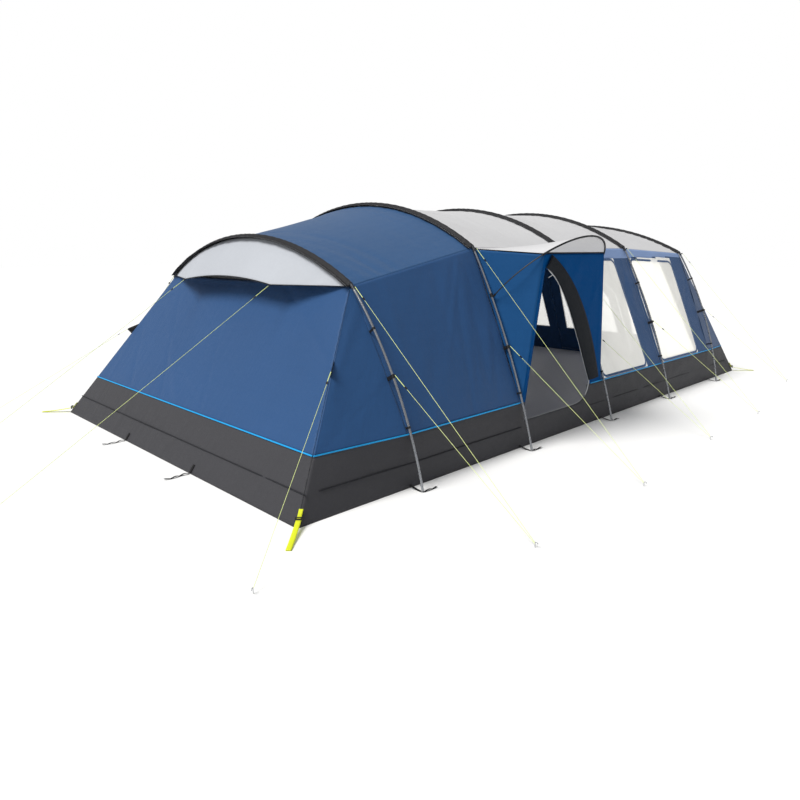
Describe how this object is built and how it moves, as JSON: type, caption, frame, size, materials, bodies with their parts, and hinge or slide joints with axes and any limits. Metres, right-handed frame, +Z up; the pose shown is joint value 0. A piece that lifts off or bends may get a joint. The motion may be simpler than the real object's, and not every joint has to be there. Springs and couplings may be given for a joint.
{
  "type": "tunnel tent",
  "caption": "Family tunnel tent with bent hoop poles, a covered side door, window bays, a sleeping tent and pegged guy lines.",
  "frame": {"origin": "centre of the ground footprint, at ground level", "axes": "+X from the sloping rear end towards the front end, +Y towards the far side wall away from the side door, +Z up"},
  "size_m": [9.0293, 6.341, 2.1],
  "materials": {
    "pole": "wound glass fibre rod",
    "leg_steel": "powder coated steel tube",
    "bright_steel": "zinc plated steel",
    "sleeve": "dark grey coated weave",
    "roof_blue": "mid blue coated weave",
    "roof_white": "off-white coated weave",
    "wall_blue": "blue coated weave",
    "porch_blue": "deep blue coated weave",
    "window_film": "clear soft film with pale inner blinds",
    "mesh": "black insect mesh",
    "skirt_grey": "dark grey heavy weave",
    "piping_blue": "bright blue corded edge",
    "ground_sheet": "grey laminated sheet",
    "black_plastic": "black moulded plastic",
    "strap_yellow": "yellow webbing with a black buckle",
    "webbing_black": "black webbing",
    "guy_line": "pale yellow-green braided cord",
    "inner_cloth": "pale grey breathable weave"
  },
  "bodies": {
    "tent_shell": {"bow_1": "pole", "bow_2": "pole", "bow_3": "pole", "bow_4": "pole", "bow_5": "pole", "porch_pole": "pole", "legs_1": "leg_steel", "legs_2": "leg_steel", "legs_3": "leg_steel", "legs_4": "leg_steel", "legs_5": "leg_steel", "elbow_ferrules": "bright_steel", "foot_pins": "bright_steel", "guy_pegs": "bright_steel", "sleeve_1": "sleeve", "sleeve_2": "sleeve", "sleeve_3": "sleeve", "sleeve_4": "sleeve", "sleeve_5": "sleeve", "roof_1": "roof_blue", "roof_2": "roof_white", "roof_3": "roof_white", "roof_4": "roof_white", "rear_hood": "roof_white", "front_hood": "roof_white", "porch_roof": "roof_white", "porch_gable": "roof_white", "near_wall_1": "wall_blue", "near_window_walls": "wall_blue", "far_plain_walls": "wall_blue", "far_window_walls": "wall_blue", "rear_gussets": "wall_blue", "front_gussets": "wall_blue", "rear_wall": "wall_blue", "front_wall": "wall_blue", "porch_front": "porch_blue", "porch_cheeks": "porch_blue", "near_windows": "window_film", "far_windows": "window_film", "front_windows": "window_film", "vent_mesh": "mesh", "skirt_near": "skirt_grey", "skirt_far": "skirt_grey", "skirt_rear": "skirt_grey", "skirt_front": "skirt_grey", "piping": "piping_blue", "groundsheet": "ground_sheet", "pole_clips": "black_plastic", "guy_runners": "black_plastic", "corner_straps": "strap_yellow", "webbing_tabs": "webbing_black", "near_guys": "guy_line", "far_guys": "guy_line", "inner_tent": "inner_cloth", "inner_front": "inner_cloth"},
    "side_door_panel": {"side_door": "porch_blue"},
    "front_door_panel": {"front_door": "wall_blue", "front_door_window": "window_film"},
    "sleeping_door_near": {"inner_door_near": "inner_cloth"},
    "sleeping_door_far": {"inner_door_far": "inner_cloth"}
  },
  "joints": [
    {"name": "side_door_hinge", "type": "hinge", "parent": "tent_shell", "child": "side_door_panel", "pos_m": [-1.33341, -1.97613, 0.22986], "axis": [0.1334, -0.0306, 0.9906], "range_deg": [-90, 0]},
    {"name": "front_door_hinge", "type": "hinge", "parent": "tent_shell", "child": "front_door_panel", "pos_m": [3.67875, 0.69841, 0.03375], "axis": [-0.5098, -0.0795, 0.8566], "range_deg": [0, 110]},
    {"name": "sleeping_door_near_hinge", "type": "hinge", "parent": "tent_shell", "child": "sleeping_door_near", "pos_m": [-1.4487, -0.1516, 0.06], "axis": [0, 0, 1], "range_deg": [0, 100]},
    {"name": "sleeping_door_far_hinge", "type": "hinge", "parent": "tent_shell", "child": "sleeping_door_far", "pos_m": [-1.4487, 0.1516, 0.06], "axis": [0, 0, 1], "range_deg": [-100, 0]}
  ]
}
